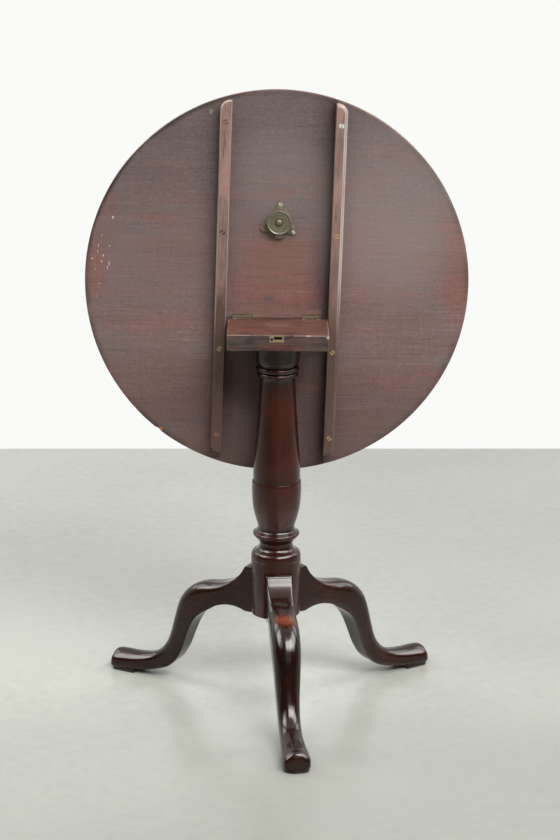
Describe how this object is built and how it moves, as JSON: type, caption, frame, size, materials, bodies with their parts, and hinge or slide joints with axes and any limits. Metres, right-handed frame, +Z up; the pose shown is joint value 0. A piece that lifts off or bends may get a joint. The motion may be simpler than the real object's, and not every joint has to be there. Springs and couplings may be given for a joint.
{
  "type": "tilt top table",
  "caption": "Round tilting table top on bearers, hinged to a block on a turned column with cabriole tripod legs; a turn knob works the sprung bolt that locks it flat.",
  "frame": {"origin": "on the column's axis, at the floor", "axes": "+Z up, +X along the hinge line, -Y the side that shows the underside and the catch while the top stands tilted"},
  "size_m": [0.674, 0.5357, 1.0888],
  "materials": {
    "top_mahogany": "dry unpolished underside, polished show face",
    "bearer_mahogany": "dry, worn pale on the arrises",
    "block_mahogany": "dry, worn pale on the arrises",
    "polished_mahogany": "dark waxed polish",
    "wedge_wood": "bare end grain",
    "hinge_brass": "dull, aged",
    "catch_brass": "aged, greyed",
    "spring_steel": "blued leaf",
    "screw_brass": "worn"
  },
  "bodies": {
    "base": {"column": "polished_mahogany", "column_wedge": "wedge_wood", "block": "block_mahogany", "leg_front": "polished_mahogany", "leg_left": "polished_mahogany", "leg_right": "polished_mahogany", "strike_plate": "catch_brass", "strike_screw": "screw_brass", "hinge_left_block_leaf": "hinge_brass", "hinge_right_block_leaf": "hinge_brass", "hinge_left_pin": "hinge_brass", "hinge_right_pin": "hinge_brass", "hinge_block_screws": "screw_brass"},
    "top": {"top": "top_mahogany", "bearer_left": "bearer_mahogany", "bearer_right": "bearer_mahogany", "bearer_screws_left": "screw_brass", "bearer_screws_right": "screw_brass", "hinge_left_top_leaf": "hinge_brass", "hinge_right_top_leaf": "hinge_brass", "hinge_top_screws": "screw_brass", "catch_case": "catch_brass", "catch_back_plate": "catch_brass", "catch_screws": "screw_brass", "catch_spring": "spring_steel"},
    "knob": {"catch_knob": "catch_brass", "catch_spindle": "catch_brass"},
    "bolt": {"catch_bolt": "catch_brass"}
  },
  "joints": [
    {"name": "top_tilt", "type": "hinge", "parent": "base", "child": "top", "pos_m": [0, 0.0603, 0.692], "axis": [1, 0, 0], "range_deg": [0, 92.9]},
    {"name": "knob_turn", "type": "hinge", "parent": "top", "child": "knob", "pos_m": [0, 0.06883, 0.86008], "axis": [0, -0.9987, 0.0507], "range_deg": [0, 50], "stiffness_Nm_per_rad": 0.06, "springref_deg": -14.32},
    {"name": "bolt_slide", "type": "slide", "parent": "top", "child": "bolt", "axis": [0, 0.0507, 0.9987], "range_m": [0, 0.0051], "deforming": ["catch_spring"]}
  ],
  "couplings": [
    {"joint": "bolt_slide", "follows": "knob_turn", "m_per_rad": 0.0058114}
  ]
}
